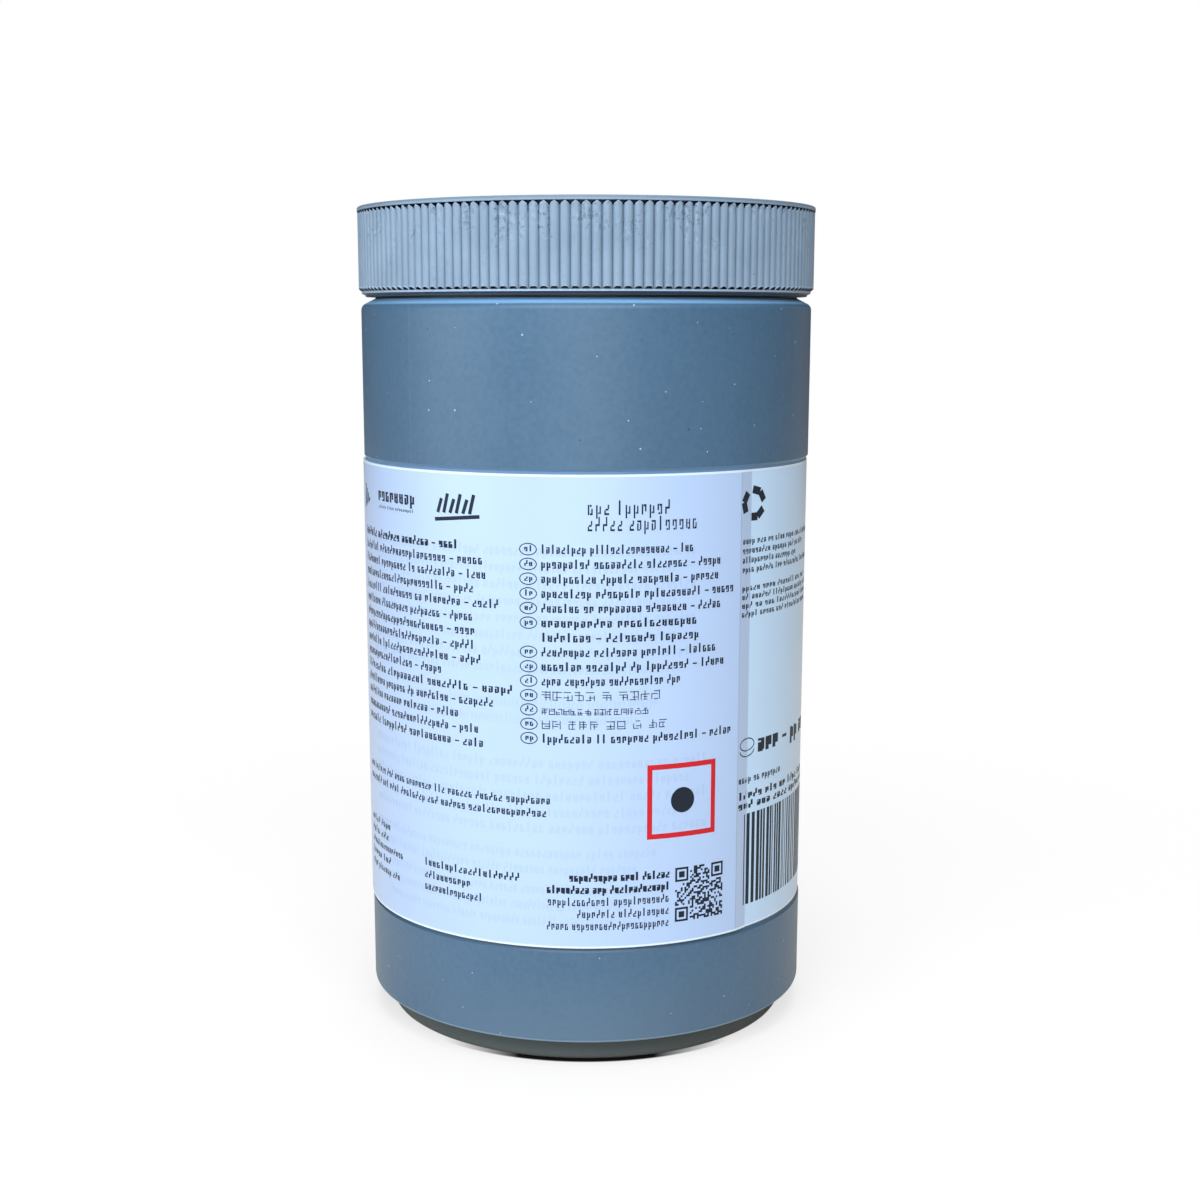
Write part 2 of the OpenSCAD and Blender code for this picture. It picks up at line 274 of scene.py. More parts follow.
jar_outline += [(neck_in_r, neck_top)] + shoulder(inner_r, neck_in_r, neck_foot)[::-1]
jar_outline += arc(inner_r - wall, floor_z + wall, wall, 0, -90, 5)
jar_shell = pull_up(jar_outline, columns)
close_ends(jar_shell)
jar_shell.name = "jar_shell"
smooth(jar_shell)

# Screw thread: two ridges that run a little over half round the neck, moulded
# with the jar. Their ends fade into the neck.
thread_lead = 12 * mm
thread_span = 195
thread_depth = 1.6 * mm
thread_root_w = 2.6 * mm
thread_crest_w = 1.2 * mm
thread_rise = thread_lead * thread_span / 360
jar_thread_z = neck_top - 2.3 * mm - thread_rise
thread_steps = 78


def thread_ridge(name, wall_r, depth, low_z, start):
    """A helical ridge on a wall: depth is positive outwards and negative inwards."""
    sunk_r = wall_r - math.copysign(0.25 * mm, depth)
    crest_r = wall_r + depth
    section = [(sunk_r, -thread_root_w / 2), (crest_r, -thread_crest_w / 2),
               (crest_r, thread_crest_w / 2), (sunk_r, thread_root_w / 2)]
    bpy.ops.object.select_all(action="DESELECT")
    bpy.ops.mesh.primitive_plane_add(size=1, location=(0, 0, 0))
    ridge = bpy.context.object
    ridge.name = name
    order = [0, 1, 3, 2]
    for corner, vertex in zip(order, ridge.data.vertices):
        vertex.co = (section[corner][0], 0, low_z + section[corner][1])
    bpy.ops.object.mode_set(mode="EDIT")
    bpy.ops.mesh.select_all(action="SELECT")
    bpy.ops.transform.rotate(value=-math.radians(start), orient_axis="Z", center_override=(0, 0, 0))
    for i in range(thread_steps):
        bpy.ops.mesh.extrude_region_move(
            TRANSFORM_OT_translate={"value": (0, 0, thread_rise / thread_steps)})
        bpy.ops.transform.rotate(value=-math.radians(thread_span / thread_steps), orient_axis="Z",
                                 center_override=(0, 0, 0))
    bpy.ops.mesh.select_all(action="SELECT")
    bpy.ops.mesh.normals_make_consistent(inside=False)
    bpy.ops.object.mode_set(mode="OBJECT")
    fade = 14
    for vertex in ridge.data.vertices:
        reach = math.hypot(vertex.co.x, vertex.co.y)
        turned = math.degrees(math.atan2(vertex.co.y, vertex.co.x)) - start
        along = turned % 360
        if along > 359:
            along = 0
        share = min(1, along / fade, (thread_span - along) / fade)
        wanted = sunk_r + (reach - sunk_r) * (0.05 + 0.95 * max(0, share) ** 0.5)
        vertex.co.x *= wanted / reach
        vertex.co.y *= wanted / reach
    return ridge


def join(target, others):
    """Joins other objects into the target object."""
    bpy.ops.object.select_all(action="DESELECT")
    for other in others:
        other.select_set(True)
    target.select_set(True)
    bpy.context.view_layer.objects.active = target
    bpy.ops.object.join()


jar_ridges = [thread_ridge("jar_ridge", neck_r, thread_depth, jar_thread_z, start) for start in (0, 180)]
join(jar_shell, jar_ridges)
smooth(jar_shell)
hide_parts("jar")
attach(jar_shell, "jar")


# Recycled polyethylene, blow-moulded: a satin skin with a soft broad sheen, a
# faint cloudy tone, stray pale and dark specks, and the mould's parting line. Noise
# scales count per metre: the cloud is 26 mm wide, the grit 1.1 mm and the grain 0.6 mm,
# coarser than real so that they show. In every Mix, input 0 is the amount, 6 the colour
# below and 7 the colour laid over it.
def specks(tree, place, size, radius, share, seed, flat=False):
    """Round specks, 1 on a speck and 0 elsewhere, one to a cell. Sizes are in the place's own units."""
    shifted = add_node(tree, "VectorMath", [place, (seed * 13.0, seed * 7.0, seed * 11.0)],
                       operation="ADD")
    cells = add_node(tree, "TexVoronoi", {"Vector": shifted, "Scale": 1 / size},
                     voronoi_dimensions="2D" if flat else "3D")
    pick = add_node(tree, "SeparateColor", {"Color": cells.outputs["Color"]})
    wanted = add_node(tree, "Math", [pick, share], operation="LESS_THAN")
    reach = radius / size
    grown = add_node(tree, "MapRange", [pick.outputs[1], 0.0, 1.0, 0.55 * reach, 1.25 * reach])
    near = add_node(tree, "Math", [cells.outputs["Distance"], grown], operation="DIVIDE")
    soft = add_node(tree, "MapRange", [near, 0.6, 1.0, 1.0, 0.0])
    return add_node(tree, "Math", [wanted, soft], operation="MULTIPLY")


def side_angle(tree, place):
    """The angle round the jar in degrees, 0 at the front and positive to the right."""
    parts = add_node(tree, "SeparateXYZ", [place])
    back = add_node(tree, "Math", [parts.outputs["Y"], -1.0], operation="MULTIPLY")
    turn = add_node(tree, "Math", [parts.outputs["X"], back], operation="ARCTAN2")
    return add_node(tree, "Math", [turn, 180 / math.pi], operation="MULTIPLY")


jar_plastic, tree, output = empty_material("jar_plastic")
place = add_node(tree, "TexCoord").outputs["Object"]
parts = add_node(tree, "SeparateXYZ", [place])
height = parts.outputs["Z"]
angle = side_angle(tree, place)
cloud = add_node(tree, "TexNoise", {"Vector": place, "Scale": 38.0, "Detail": 3.0, "Roughness": 0.55})
amount = add_node(tree, "MapRange", [cloud, 0.35, 0.65])
colour = add_node(tree, "Mix", {0: amount, 6: linear("#45637d"), 7: linear("#496781")},
                  data_type="RGBA")
grit = add_node(tree, "TexNoise", {"Vector": place, "Scale": 900.0, "Detail": 2.0})
amount = add_node(tree, "MapRange", [grit, 0.3, 0.7, 0.0, 0.12])
colour = add_node(tree, "Mix", {0: amount, 6: colour, 7: linear("#7990a4")}, data_type="RGBA")
up_mm = add_node(tree, "Math", [height, 1000.0], operation="MULTIPLY")
along_mm = add_node(tree, "Math", [angle, math.radians(body_r / mm)], operation="MULTIPLY")
wall_mm = add_node(tree, "CombineXYZ", [along_mm, up_mm]).outputs[0]
amount = specks(tree, wall_mm, 7.0, 0.17, 0.4, 1, flat=True)
colour = add_node(tree, "Mix", {0: amount, 6: colour, 7: linear("#c4d5e6")}, data_type="RGBA")
amount = specks(tree, wall_mm, 11.0, 0.16, 0.35, 2, flat=True)
colour = add_node(tree, "Mix", {0: amount, 6: colour, 7: linear("#1d2a38")}, data_type="RGBA")
from_line = add_node(tree, "Math", [angle, 47.0], operation="ADD")
from_line = add_node(tree, "Math", [from_line, 180.0], operation="PINGPONG")
line_near = add_node(tree, "MapRange", [from_line, 0.05, 0.3, 1.0, 0.0])
over_label = add_node(tree, "Math", [height, label_high], operation="GREATER_THAN")
line_near = add_node(tree, "Math", [line_near, over_label], operation="MULTIPLY")
amount = add_node(tree, "Math", [line_near, 0.06], operation="MULTIPLY")
colour = add_node(tree, "Mix", {0: amount, 6: colour, 7: linear("#9db6cc")}, data_type="RGBA")

# The wall's front greys towards the table with painted bounce light. The band past the label
# has a painted highlight above it and a painted shadow below, the shoulder's slope and the heel's
# edge carry painted highlights, the gap under the lid is painted black as shade, and the foot is
# painted greyer as shade, lighter towards the table as a painted reflection, and black in front
# as a painted contact shadow.
bend_z = shoulder_z - 1.4 * mm
# Painted bounce light: the wall's front is tinted paler and greyer towards the table.
turned = add_node(tree, "Math", [angle], operation="ABSOLUTE")
front = add_node(tree, "MapRange", [turned, 20, 55, 1.0, 0.0])
painted_table_bounce = add_node(tree, "MapRange", [height, 6 * mm, 22 * mm, 0.6, 0.0])
amount = add_node(tree, "Math", [front, painted_table_bounce], operation="MULTIPLY")
colour = add_node(tree, "Mix", {0: amount, 6: colour, 7: linear("#647789")}, data_type="RGBA")
# Painted shadow: a dark band just under the label's lower edge.
band_w = recess_margin + recess_slope
painted_band = add_node(tree, "Math", [height, label_low - band_w / 2, band_w / 2], operation="COMPARE")
amount = add_node(tree, "Math", [painted_band, 0.6], operation="MULTIPLY")
colour = add_node(tree, "Mix", {0: amount, 6: colour, 7: linear("#3c5163")}, data_type="RGBA")
# Painted highlight: a pale band just over the label's upper edge, where the recess slope faces down.
painted_band = add_node(tree, "Math", [height, label_high + band_w / 2, band_w / 2], operation="COMPARE")
amount = add_node(tree, "Math", [painted_band, 0.9], operation="MULTIPLY")
colour = add_node(tree, "Mix", {0: amount, 6: colour, 7: linear("#6686a4")}, data_type="RGBA")
flat = add_node(tree, "CombineXYZ", [parts.outputs["X"], parts.outputs["Y"]])
reach = add_node(tree, "VectorMath", [flat], operation="LENGTH").outputs["Value"]
outer = add_node(tree, "Math", [reach, neck_r + bead_w / 2], operation="GREATER_THAN")
below_bead = add_node(tree, "Math", [height, shoulder_z + 0.02 * mm], operation="LESS_THAN")
below_bead = add_node(tree, "Math", [outer, below_bead], operation="MULTIPLY")
# Painted highlight: the shoulder's slope, from the bend to the bead, is pale.
painted_shoulder_highlight = add_node(tree, "MapRange", [height, bend_z, bend_z + 0.35 * mm])
amount = add_node(tree, "Math", [below_bead, painted_shoulder_highlight], operation="MULTIPLY")
colour = add_node(tree, "Mix", {0: amount, 6: colour, 7: linear("#90bce1")}, data_type="RGBA")
# Painted shade: the bead's outer face just under the lid is near black.
gap_shade = add_node(tree, "Math", [height, shoulder_z + 0.15 * mm, 0.25 * mm], operation="COMPARE")
amount = add_node(tree, "Math", [outer, gap_shade], operation="MULTIPLY")
colour = add_node(tree, "Mix", {0: amount, 6: colour, 7: linear("#030406")}, data_type="RGBA")
# Painted highlight: a pale line along the heel's edge just above the crease.
off_edge = add_node(tree, "Math", [height, crease_h + 0.3 * mm], operation="SUBTRACT")
off_edge = add_node(tree, "Math", [off_edge], operation="ABSOLUTE")
amount = add_node(tree, "MapRange", [off_edge, 0.15 * mm, 0.35 * mm, 0.85, 0.0])
colour = add_node(tree, "Mix", {0: amount, 6: colour, 7: linear("#8aa5bc")}, data_type="RGBA")
# Painted shade on the foot: darker up towards the crease, lighter towards the table as a painted reflection,
# and black in front near the table as a painted contact shadow.
outside = add_node(tree, "Math", [reach, foot_r - foot_round], operation="GREATER_THAN")
amount = add_node(tree, "MapRange", [height, 0.6 * mm, crease_h])
painted_foot_shade = add_node(tree, "Mix", {0: amount, 6: linear("#565b5a"), 7: linear("#394448")},
                     data_type="RGBA")
foot_side = add_node(tree, "MapRange", [turned, 18, 42])
over_table = add_node(tree, "MapRange", [height, 0.3 * mm, 0.6 * mm])
amount = add_node(tree, "Math", [foot_side, over_table], operation="MAXIMUM")
painted_foot_shade = add_node(tree, "Mix", {0: amount, 6: linear("#151515"), 7: painted_foot_shade}, data_type="RGBA")
on_foot = add_node(tree, "Math", [height, crease_h + 0.02 * mm], operation="LESS_THAN")
amount = add_node(tree, "Math", [outside, on_foot], operation="MULTIPLY")
colour = add_node(tree, "Mix", {0: amount, 6: colour, 7: painted_foot_shade}, data_type="RGBA")
grain = add_node(tree, "TexNoise", {"Vector": place, "Scale": 1600.0, "Detail": 2.0})
waves = add_node(tree, "TexNoise", {"Vector": place, "Scale": 60.0, "Detail": 1.0})
relief = add_node(tree, "Math", [waves, 6.0, grain], operation="MULTIPLY_ADD")
raised = add_node(tree, "Math", [line_near, 1.5, relief], operation="MULTIPLY_ADD")
bump = add_node(tree, "Bump", {"Height": raised, "Strength": 0.25, "Distance": 0.00003})
plastic = add_node(tree, "BsdfPrincipled",
                   {"Base Color": colour, "Roughness": 0.42, "IOR": 1.5, "Normal": bump})
tree.links.new(plastic.outputs[0], output.inputs["Surface"])
jar_shell.data.materials.append(jar_plastic)

# Lid: injection-moulded in a paler blue-grey. A hundred and fifty grip ribs run
# between a smooth rim and a narrow lip, with a bevel and a thin ring below.
rib_count = 150
rib_columns = 12
skirt_in_r = 45.35 * mm
groove_r = 47.15 * mm
rib_r = 47.9 * mm
rim_r = 48 * mm
rim_h = 0.9 * mm
rim_round = 0.35 * mm
lip_r = 47.3 * mm
edge_ring_r = 46.55 * mm
edge_ring_top = lid_low + 0.3 * mm
lip_low = edge_ring_top + 0.35 * mm
rib_low = lip_low + 0.45 * mm
rim_low = lid_high - rim_h
lid_under = lid_high - 1.6 * mm
panel_r = 43 * mm
panel_sink = 0.5 * mm
rib_fall = [0, 0.01, 0.03, 0.08, 0.19, 0.4, 0.68]
rib_pitch = 2 * math.pi * rib_r / rib_count
pocket_r = groove_r - 0.35 * mm
pocket_h = 0.78 * mm
dome_h = 0.5 * mm
dome_half_w = 0.62 * mm
rib_heights = [rib_low + dome_h * i / 4 for i in range(6)]
rib_heights += [lid_low + z * mm for z in (3.2, 4.5, 7, 8.5, 10, 11.2, 12.4, 13.4, 14.4, 15.4, 16.1)]
rib_heights += [rim_low - pocket_h * (1 - i / 6) for i in range(7)]


def rib_reach(column, height):
    """Radius of the ribbed skirt: wide rounded ribs, pointed at the top under the
    rim, with a dome-shaped hollow under each foot."""
    away = abs((column + rib_columns // 2) % rib_columns - rib_columns // 2)
    reach = rib_r - rib_fall[away] * mm
    across = away * rib_pitch / rib_columns
    from_top = (rim_low - height) / pocket_h
    if from_top < 1 and across > (from_top + 0.01) * rib_pitch / 2:
        return pocket_r
    up = (height - rib_low) / dome_h
    if up < 1 and across < dome_half_w * math.sqrt(1 - max(0, up) ** 2):
        return pocket_r
    return min(reach, lip_r + 0.05 * mm + 1.2 * max(0, height - rib_low))


slice_outline = [(skirt_in_r, lid_under), (skirt_in_r, lid_low), (edge_ring_r - 0.1 * mm, lid_low),
                 (edge_ring_r, lid_low + 0.1 * mm), (edge_ring_r, edge_ring_top),
                 (lip_r, lip_low), (lip_r, rib_low - 0.02 * mm)]
slice_outline += [(rib_r, height) for height in rib_heights]
slice_outline += [(rim_r, rim_low + 0.02 * mm)]
slice_outline += arc(rim_r - rim_round, lid_high - rim_round, rim_round, 0, 90, 4)
slice_outline += [(panel_r, lid_high), (panel_r - panel_sink, lid_high - panel_sink)]

column_count = rib_count * rib_columns
bpy.ops.object.select_all(action="DESELECT")
bpy.ops.mesh.primitive_circle_add(vertices=column_count, radius=skirt_in_r, location=(0, 0, lid_under))
bpy.ops.object.transform_apply(location=True)
lid_shell = bpy.context.object
lid_shell.name = "lid_shell"
step = 2 * math.pi / column_count


def column_of(point):
    """Which column of the ribbed skirt a point stands in, counted from +Y towards -X."""
    return round(math.atan2(-point.x, point.y) / step)


bpy.ops.object.mode_set(mode="EDIT")
edit = bmesh.from_edit_mesh(lid_shell.data)
for vertex in edit.verts:
    vertex.select_set(not 0 <= column_of(vertex.co) <= rib_columns)
edit.select_flush_mode()
bmesh.update_edit_mesh(lid_shell.data)
bpy.ops.mesh.delete(type="VERT")
bpy.ops.mesh.select_all(action="SELECT")
radius, height = slice_outline[0]
for next_radius, next_height in slice_outline[1:]:
    bpy.ops.mesh.extrude_region_move(TRANSFORM_OT_translate={"value": (0, 0, next_height - height)})
    grow = next_radius / radius
    bpy.ops.transform.resize(value=(grow, grow, 1), center_override=(0, 0, next_height))
    radius, height = next_radius, next_height
edit = bmesh.from_edit_mesh(lid_shell.data)
for vertex in edit.verts:
    height = vertex.co.z
    reach = math.hypot(vertex.co.x, vertex.co.y)
    if reach > skirt_in_r + mm and rib_low - 0.01 * mm < height < rim_low + 0.01 * mm:
        wanted = rib_reach(column_of(vertex.co), height)
        vertex.co.x *= wanted / reach
        vertex.co.y *= wanted / reach
bmesh.update_edit_mesh(lid_shell.data)
bpy.ops.mesh.select_all(action="SELECT")
bpy.ops.mesh.spin(steps=rib_count, dupli=True, angle=2 * math.pi, center=(0, 0, 0), axis=(0, 0, 1))
bpy.ops.mesh.select_all(action="SELECT")
bpy.ops.mesh.remove_doubles(threshold=0.01 * mm)
close_ends(lid_shell)

# The ribs' upper third is knocked about: small dents and burrs from handling.
knocks = random.Random(7)
dents = [(knocks.uniform(-180, 180), lid_low + knocks.uniform(9.5, 16.5) * mm,
          knocks.uniform(0.25, 0.7) * mm, knocks.uniform(-0.24, 0.05) * mm) for _ in range(420)]
buckets = {}
for turn, height, reach, depth in dents:
    buckets.setdefault(round(turn / 2), []).append((turn, height, reach, depth))
for vertex in lid_shell.data.vertices:
    radius = math.hypot(vertex.co.x, vertex.co.y)
    if radius < rib_r - 0.35 * mm or not rib_low + mm < vertex.co.z < rim_low - mm:
        continue
    turn = math.degrees(math.atan2(vertex.co.x, -vertex.co.y))
    for key in (round(turn / 2) - 1, round(turn / 2), round(turn / 2) + 1):
        for dent_turn, dent_height, reach, depth in buckets.get(key, ()):
            across = math.radians(turn - dent_turn) * rib_r
            gap = math.hypot(across * 1.6, (vertex.co.z - dent_height) * 0.6)
            if gap < reach:
                grow = 1 + depth * (1 - (gap / reach) ** 2) / radius
                vertex.co.x *= grow
                vertex.co.y *= grow
                radius *= grow
lid_thread_z = jar_thread_z - (thread_root_w + thread_crest_w) / 2 - 0.3 * mm
lid_ridges = [thread_ridge("lid_ridge", skirt_in_r, -thread_depth, lid_thread_z, start) for start in (0, 180)]
join(lid_shell, lid_ridges)
smooth(lid_shell, 40)
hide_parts("lid")
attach(lid_shell, "lid")

# Moulded polypropylene: a satin skin. The lip is paler than the ribs, the rim's upper half and
# the grooves are darkened with painted shade, and the bevel below the lip is dark with painted shade.
lid_plastic, tree, output = empty_material("lid_plastic")
place = add_node(tree, "TexCoord").outputs["Object"]
parts = add_node(tree, "SeparateXYZ", [place])
height = parts.outputs["Z"]
flat = add_node(tree, "CombineXYZ", [parts.outputs["X"], parts.outputs["Y"]])
reach = add_node(tree, "VectorMath", [flat], operation="LENGTH").outputs["Value"]
cloud = add_node(tree, "TexNoise", {"Vector": place, "Scale": 120.0, "Detail": 4.0})
amount = add_node(tree, "MapRange", [cloud, 0.35, 0.65])
colour = add_node(tree, "Mix", {0: amount, 6: linear("#8798ab"), 7: linear("#8fa0b3")},
                  data_type="RGBA")
# Painted shade in the grooves between the ribs.
groove_shade = add_node(tree, "MapRange", [reach, groove_r, groove_r + 0.35 * mm, 0.75, 0.0])
colour = add_node(tree, "Mix", {0: groove_shade, 6: colour, 7: linear("#53647a")}, data_type="RGBA")
lip_h = rib_low - lip_low
from_lip = add_node(tree, "Math", [height, lip_low + lip_h / 2], operation="SUBTRACT")
from_lip = add_node(tree, "Math", [from_lip], operation="ABSOLUTE")
amount = add_node(tree, "MapRange", [from_lip, 0.4 * lip_h, 0.5 * lip_h, 0.8, 0.0])
colour = add_node(tree, "Mix", {0: amount, 6: colour, 7: linear("#b4c6dc")}, data_type="RGBA")
# Painted shade on the rim's upper half.
rim_top_shade = add_node(tree, "MapRange", [height, lid_high - 0.5 * mm, lid_high - 0.4 * mm])
rim_side = add_node(tree, "MapRange", [reach, rim_r - 0.8 * mm, rim_r - 0.5 * mm])
amount = add_node(tree, "Math", [rim_top_shade, rim_side], operation="MULTIPLY")
colour = add_node(tree, "Mix", {0: amount, 6: colour, 7: linear("#748393")}, data_type="RGBA")

# Each hollow under the rim is painted as a dark triangle of shade and each one at a rib's foot as
# a dark half oval of shade, larger to the sides, and both have a painted pale highlight on their edge on the
# rib's side.
half_turn = 180 / rib_count
angle = side_angle(tree, place)
across = add_node(tree, "Math", [angle, half_turn], operation="PINGPONG")
across = add_node(tree, "Math", [across, half_turn], operation="DIVIDE")
down = add_node(tree, "MapRange", [height, rim_low - pocket_h, rim_low, 1.0, 0.0])
turned = add_node(tree, "Math", [angle], operation="ABSOLUTE")
aside = add_node(tree, "MapRange", [turned, 30, 65])
inwards = add_node(tree, "Math", [across, down], operation="SUBTRACT")
inwards = add_node(tree, "Math", [aside, 0.15, inwards], operation="MULTIPLY_ADD")
pocket_z = rim_low - pocket_h / 2 - 0.05 * mm
under_rim = add_node(tree, "Math", [height, pocket_z, pocket_h / 2 + 0.04 * mm], operation="COMPARE")
pocket = add_node(tree, "MapRange", [inwards, 0.0, 0.08])
pocket = add_node(tree, "Math", [pocket, under_rim], operation="MULTIPLY")
off_pocket = add_node(tree, "Math", [inwards, 0.1], operation="ADD")
off_pocket = add_node(tree, "Math", [off_pocket], operation="ABSOLUTE")
pocket_edge = add_node(tree, "MapRange", [off_pocket, 0.04, 0.12, 1.0, 0.0])
pocket_edge = add_node(tree, "Math", [under_rim, pocket_edge], operation="MULTIPLY")
dome_u = add_node(tree, "Math", [across, rib_pitch / 2 / dome_half_w], operation="MULTIPLY")
dome_v = add_node(tree, "Math", [height, rib_low], operation="SUBTRACT")
dome_v = add_node(tree, "Math", [dome_v, dome_h], operation="DIVIDE")
from_dome = add_node(tree, "CombineXYZ", [dome_u, dome_v])
oval = add_node(tree, "VectorMath", [from_dome], operation="LENGTH").outputs["Value"]
grown = add_node(tree, "Math", [aside, 0.4, 1.0], operation="MULTIPLY_ADD")
oval = add_node(tree, "Math", [oval, grown], operation="DIVIDE")
over_lip = add_node(tree, "Math", [height, rib_low - 0.01 * mm], operation="GREATER_THAN")
dome = add_node(tree, "MapRange", [oval, 0.92, 1.0, 1.0, 0.0])
dome = add_node(tree, "Math", [dome, over_lip], operation="MULTIPLY")
off_dome = add_node(tree, "Math", [oval, 1.15], operation="SUBTRACT")
off_dome = add_node(tree, "Math", [off_dome], operation="ABSOLUTE")
dome_edge = add_node(tree, "MapRange", [off_dome, 0.06, 0.18, 1.0, 0.0])
dome_edge = add_node(tree, "Math", [over_lip, dome_edge], operation="MULTIPLY")
sunk = add_node(tree, "Math", [reach, lip_r + 0.25 * mm], operation="LESS_THAN")
at_foot = add_node(tree, "Math", [height, rib_low + dome_h / 2, dome_h / 2], operation="COMPARE")
sunk_foot = add_node(tree, "Math", [sunk, at_foot], operation="MULTIPLY")
near_crest = add_node(tree, "Math", [across, 0.8], operation="LESS_THAN")
sunk_foot = add_node(tree, "Math", [sunk_foot, near_crest], operation="MULTIPLY")
dome = add_node(tree, "Math", [dome, sunk_foot], operation="MAXIMUM")
sunk_top = add_node(tree, "Math", [sunk, under_rim], operation="MULTIPLY")
in_hollow = add_node(tree, "Math", [inwards, -0.2], operation="GREATER_THAN")
sunk_top = add_node(tree, "Math", [sunk_top, in_hollow], operation="MULTIPLY")
pocket = add_node(tree, "Math", [pocket, sunk_top], operation="MAXIMUM")
# Painted highlight: a pale edge round each hollow on the rib's side.
painted_edge_highlight = add_node(tree, "Math", [pocket_edge, dome_edge], operation="MAXIMUM")
amount = add_node(tree, "Math", [painted_edge_highlight, 0.6], operation="MULTIPLY")
colour = add_node(tree, "Mix", {0: amount, 6: colour, 7: linear("#b9cbe2")}, data_type="RGBA")
# Painted shade: the hollows under the rim and at the ribs' feet are dark.
amount = add_node(tree, "Math", [pocket, dome], operation="MAXIMUM")
colour = add_node(tree, "Mix", {0: amount, 6: colour, 7: linear("#121b26")}, data_type="RGBA")
# Painted shade on the bevel and ring below the lip.
under_lip_shade = add_node(tree, "Math", [height, lip_low + 0.03 * mm], operation="LESS_THAN")
skirt_out = add_node(tree, "Math", [reach, skirt_in_r + 0.3 * mm], operation="GREATER_THAN")
amount = add_node(tree, "Math", [under_lip_shade, skirt_out], operation="MULTIPLY")
colour = add_node(tree, "Mix", {0: amount, 6: colour, 7: linear("#303e50")}, data_type="RGBA")
amount = specks(tree, place, 4 * mm, 0.3 * mm, 0.15, 5)
colour = add_node(tree, "Mix", {0: amount, 6: colour, 7: linear("#3c4c60")}, data_type="RGBA")

# The skin has fine grit everywhere and small crisp nicks on the ribs' upper third.
# The grit is 0.7 mm, coarser than real so that it shows, the nicks are 0.9 mm, and
# they come in patches 6 mm wide.
grain = add_node(tree, "TexNoise", {"Vector": place, "Scale": 1500.0, "Detail": 2.0})
nicks = add_node(tree, "TexNoise", {"Vector": place, "Scale": 1100.0, "Detail": 2.0})
patches = add_node(tree, "TexNoise", {"Vector": place, "Scale": 170.0, "Detail": 1.0})
knocked = add_node(tree, "MapRange", [height, lid_low + 7 * mm, lid_low + 14 * mm, 0.2, 1.0])
patch = add_node(tree, "MapRange", [patches, 0.48, 0.6])
knocked = add_node(tree, "Math", [knocked, patch], operation="MULTIPLY")
below_rim = add_node(tree, "Math", [height, rim_low], operation="LESS_THAN")
knocked = add_node(tree, "Math", [knocked, below_rim], operation="MULTIPLY")
nick = add_node(tree, "MapRange", [nicks, 0.58, 0.66])
nick = add_node(tree, "Math", [nick, knocked], operation="MULTIPLY")
burr = add_node(tree, "MapRange", [nicks, 0.36, 0.42, 1.0, 0.0])
burr = add_node(tree, "Math", [burr, knocked], operation="MULTIPLY")
amount = add_node(tree, "Math", [nick, 0.35], operation="MULTIPLY")
colour = add_node(tree, "Mix", {0: amount, 6: colour, 7: linear("#66788e")}, data_type="RGBA")
amount = add_node(tree, "Math", [burr, 0.3], operation="MULTIPLY")
colour = add_node(tree, "Mix", {0: amount, 6: colour, 7: linear("#b3c7df")}, data_type="RGBA")
relief = add_node(tree, "Math", [grain, 0.12], operation="MULTIPLY")
relief = add_node(tree, "Math", [nick, -1.0, relief], operation="MULTIPLY_ADD")
bump = add_node(tree, "Bump", {"Height": relief, "Strength": 0.9, "Distance": 0.0002})
plastic = add_node(tree, "BsdfPrincipled",
                   {"Base Color": colour, "Roughness": 0.5, "IOR": 1.49, "Normal": bump})
tree.links.new(plastic.outputs[0], output.inputs["Surface"])
lid_shell.data.materials.append(lid_plastic)

# Sealing disc: white polyethylene foam, punched from sheet. It lies in the lid and
# closes the neck's top edge, and its pores, 0.4 mm wide, give it a matte face.
liner_foam, tree, output = empty_material("liner_foam")
place = add_node(tree, "TexCoord").outputs["Object"]
pores = add_node(tree, "TexVoronoi", {"Vector": place, "Scale": 2500.0})
colour = add_node(tree, "Mix",
                  {0: pores.outputs["Distance"], 6: linear("#dfe3e4"), 7: linear("#f4f5f4")},
                  data_type="RGBA")
bump = add_node(tree, "Bump",
                {"Height": pores.outputs["Distance"], "Strength": 0.5, "Distance": 0.0001})
foam = add_node(tree, "BsdfPrincipled",
                {"Base Color": colour, "Roughness": 0.75, "IOR": 1.45, "Normal": bump})
tree.links.new(foam.outputs[0], output.inputs["Surface"])
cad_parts["liner"].data.materials.clear()
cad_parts["liner"].data.materials.append(liner_foam)

# Tablets: a hundred pressed from white powder with a few blue grains, their edges
# bevelled by the die, in layers in the jar. The powder's grain of 0.7 mm and the
# blue grains, up to 0.6 mm, give a dry, flat white.
tablet_powder, tree, output = empty_material("tablet_powder")
place = add_node(tree, "TexCoord").outputs["Object"]
powder = add_node(tree, "TexNoise", {"Vector": place, "Scale": 1400.0, "Detail": 4.0, "Roughness": 0.7})
amount = add_node(tree, "MapRange", [powder, 0.3, 0.7])
colour = add_node(tree, "Mix", {0: amount, 6: linear("#e6e8e4"), 7: linear("#fbfbf8")},
                  data_type="RGBA")
amount = specks(tree, place, 2.2 * mm, 0.5 * mm, 0.45, 9)
colour = add_node(tree, "Mix", {0: amount, 6: colour, 7: linear("#8fb0d8")}, data_type="RGBA")
bump = add_node(tree, "Bump", {"Height": powder, "Strength": 0.7, "Distance": 0.0002})
pressed = add_node(tree, "BsdfPrincipled",
                   {"Base Color": colour, "Roughness": 0.85, "IOR": 1.45, "Normal": bump})
tree.links.new(pressed.outputs[0], output.inputs["Surface"])
for name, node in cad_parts.items():
    if name.startswith("tablet_layer"):
        node.data.materials.clear()
        node.data.materials.append(tablet_powder)

